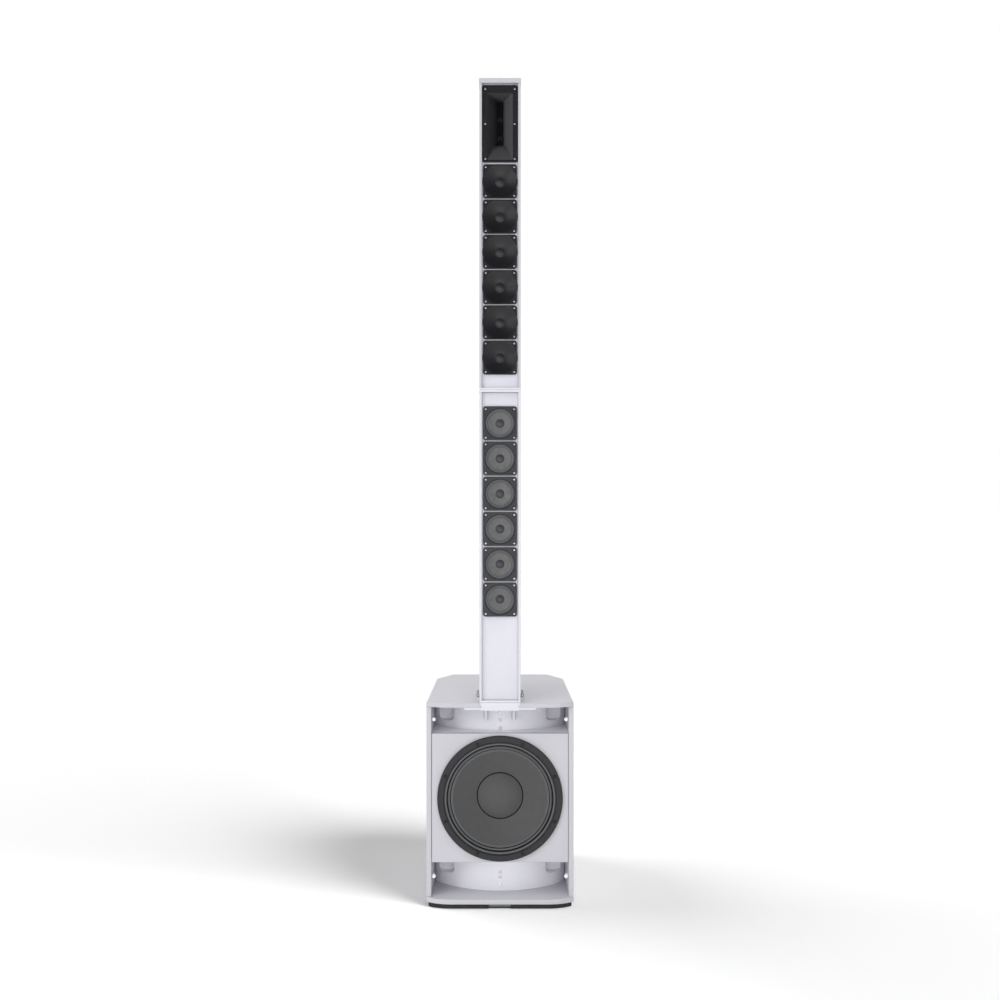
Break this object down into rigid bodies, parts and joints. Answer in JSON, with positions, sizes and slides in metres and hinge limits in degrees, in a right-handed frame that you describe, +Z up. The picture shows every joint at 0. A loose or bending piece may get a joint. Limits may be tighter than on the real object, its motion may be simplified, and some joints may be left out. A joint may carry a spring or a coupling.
{
  "type": "column pa system",
  "caption": "Two-section line-array column standing on a ported subwoofer cabinet, with open drivers, a horn, side grips and a recessed rear amplifier panel.",
  "frame": {"origin": "on the floor, under the middle of the cabinet", "axes": "+Z up along the column, -Y out of the front of the drivers, +X to the right seen from the front"},
  "size_m": [0.366, 0.508, 2.054],
  "materials": {
    "cabinet_paint": "fine structured white paint over plywood, satin",
    "column_paint": "white powder coat over extruded aluminium, satin",
    "white_moulding": "smooth white moulded plastic, satin",
    "black_plastic": "fine-textured black moulded plastic",
    "control_plastic": "soft-touch black plastic",
    "gloss_black": "semi-gloss black moulded plastic",
    "dark_metal": "black zinc plate over steel and ferrite",
    "amp_metal": "black anodised, satin",
    "circuit_board": "solder-masked board with components",
    "basket_metal": "dark grey powder coat over cast aluminium",
    "driver_frame": "dark grey moulded frame, satin",
    "surround_rubber": "coated double-roll surround, satin",
    "woofer_cone": "coated pulp, matte",
    "midrange_cone": "coated pulp, matte",
    "foot_rubber": "matte rubberised plastic",
    "latch_plastic": "grey moulded nylon"
  },
  "bodies": {
    "cabinet": {"cabinet_top_panel": "cabinet_paint", "cabinet_bottom_panel": "cabinet_paint", "cabinet_right_wall": "cabinet_paint", "cabinet_left_wall": "cabinet_paint", "cabinet_rear_wall": "cabinet_paint", "side_handle_right": "black_plastic", "side_handle_left": "black_plastic", "cabinet_base": "foot_rubber", "woofer_baffle": "cabinet_paint", "woofer_basket": "basket_metal", "woofer_magnet": "dark_metal", "woofer_surround": "surround_rubber", "upper_port_shroud": "white_moulding", "lower_port_shroud": "white_moulding", "column_dock": "white_moulding", "amp_plate": "amp_metal", "amp_heatsink": "amp_metal", "amp_circuit_board": "circuit_board", "input_jack_left": "black_plastic", "input_jack_right": "black_plastic", "power_inlet": "black_plastic"},
    "lower_column": {"lower_column_shell": "column_paint", "lower_column_baffle": "column_paint", "lower_column_foot": "white_moulding", "lower_column_top_cap": "white_moulding", "midrange_frame_1": "driver_frame", "midrange_frame_2": "driver_frame", "midrange_frame_3": "driver_frame", "midrange_frame_4": "driver_frame", "midrange_frame_5": "driver_frame", "midrange_frame_6": "driver_frame"},
    "upper_column": {"upper_column_shell": "column_paint", "upper_column_baffle": "column_paint", "upper_column_foot": "white_moulding", "upper_column_top_cap": "white_moulding", "horn": "gloss_black", "tweeter_upper": "dark_metal", "tweeter_lower": "dark_metal", "waveguide_driver_1": "gloss_black", "waveguide_driver_2": "gloss_black", "waveguide_driver_3": "gloss_black", "waveguide_driver_4": "gloss_black", "waveguide_driver_5": "gloss_black", "waveguide_driver_6": "gloss_black"},
    "woofer_cone": {"woofer_cone": "woofer_cone"},
    "channel_knob_left": {"channel_knob_left": "control_plastic"},
    "channel_knob_right": {"channel_knob_right": "control_plastic"},
    "subwoofer_knob": {"subwoofer_knob": "control_plastic"},
    "power_rocker": {"power_rocker": "control_plastic"},
    "column_latch_left": {"column_latch_left": "latch_plastic"},
    "column_latch_right": {"column_latch_right": "latch_plastic"},
    "midrange_cone_1": {"midrange_cone_1": "midrange_cone"},
    "midrange_cone_2": {"midrange_cone_2": "midrange_cone"},
    "midrange_cone_3": {"midrange_cone_3": "midrange_cone"},
    "midrange_cone_4": {"midrange_cone_4": "midrange_cone"},
    "midrange_cone_5": {"midrange_cone_5": "midrange_cone"},
    "midrange_cone_6": {"midrange_cone_6": "midrange_cone"}
  },
  "joints": [
    {"name": "lower_column_lift", "type": "slide", "parent": "cabinet", "child": "lower_column", "axis": [0, 0, 1], "range_m": [0, 0.06]},
    {"name": "upper_column_lift", "type": "slide", "parent": "lower_column", "child": "upper_column", "axis": [0, 0, 1], "range_m": [0, 0.06]},
    {"name": "woofer_excursion", "type": "slide", "parent": "cabinet", "child": "woofer_cone", "axis": [0, -1, 0], "range_m": [-0.005, 0.005], "stiffness_N_per_m": 2500},
    {"name": "midrange_excursion_1", "type": "slide", "parent": "lower_column", "child": "midrange_cone_1", "axis": [0, -1, 0], "range_m": [-0.0015, 0.0015], "stiffness_N_per_m": 600},
    {"name": "midrange_excursion_2", "type": "slide", "parent": "lower_column", "child": "midrange_cone_2", "axis": [0, -1, 0], "range_m": [-0.0015, 0.0015], "stiffness_N_per_m": 600},
    {"name": "midrange_excursion_3", "type": "slide", "parent": "lower_column", "child": "midrange_cone_3", "axis": [0, -1, 0], "range_m": [-0.0015, 0.0015], "stiffness_N_per_m": 600},
    {"name": "midrange_excursion_4", "type": "slide", "parent": "lower_column", "child": "midrange_cone_4", "axis": [0, -1, 0], "range_m": [-0.0015, 0.0015], "stiffness_N_per_m": 600},
    {"name": "midrange_excursion_5", "type": "slide", "parent": "lower_column", "child": "midrange_cone_5", "axis": [0, -1, 0], "range_m": [-0.0015, 0.0015], "stiffness_N_per_m": 600},
    {"name": "midrange_excursion_6", "type": "slide", "parent": "lower_column", "child": "midrange_cone_6", "axis": [0, -1, 0], "range_m": [-0.0015, 0.0015], "stiffness_N_per_m": 600},
    {"name": "channel_knob_left_turn", "type": "hinge", "parent": "cabinet", "child": "channel_knob_left", "pos_m": [-0.052, 0.248, 0.344], "axis": [0, 1, 0], "range_deg": [-150, 150]},
    {"name": "channel_knob_right_turn", "type": "hinge", "parent": "cabinet", "child": "channel_knob_right", "pos_m": [0, 0.248, 0.344], "axis": [0, 1, 0], "range_deg": [-150, 150]},
    {"name": "subwoofer_knob_turn", "type": "hinge", "parent": "cabinet", "child": "subwoofer_knob", "pos_m": [0.052, 0.248, 0.344], "axis": [0, 1, 0], "range_deg": [-150, 150]},
    {"name": "power_rocker_tilt", "type": "hinge", "parent": "cabinet", "child": "power_rocker", "pos_m": [0, 0.2453, 0.168], "axis": [1, 0, 0], "range_deg": [0, 14]},
    {"name": "left_latch_swing", "type": "hinge", "parent": "cabinet", "child": "column_latch_left", "pos_m": [-0.0565, -0.165, 0.5155], "axis": [0, -1, 0], "range_deg": [0, 28], "stiffness_Nm_per_rad": 0.2},
    {"name": "right_latch_swing", "type": "hinge", "parent": "cabinet", "child": "column_latch_right", "pos_m": [0.0565, -0.165, 0.5155], "axis": [0, 1, 0], "range_deg": [0, 28], "stiffness_Nm_per_rad": 0.2}
  ]
}
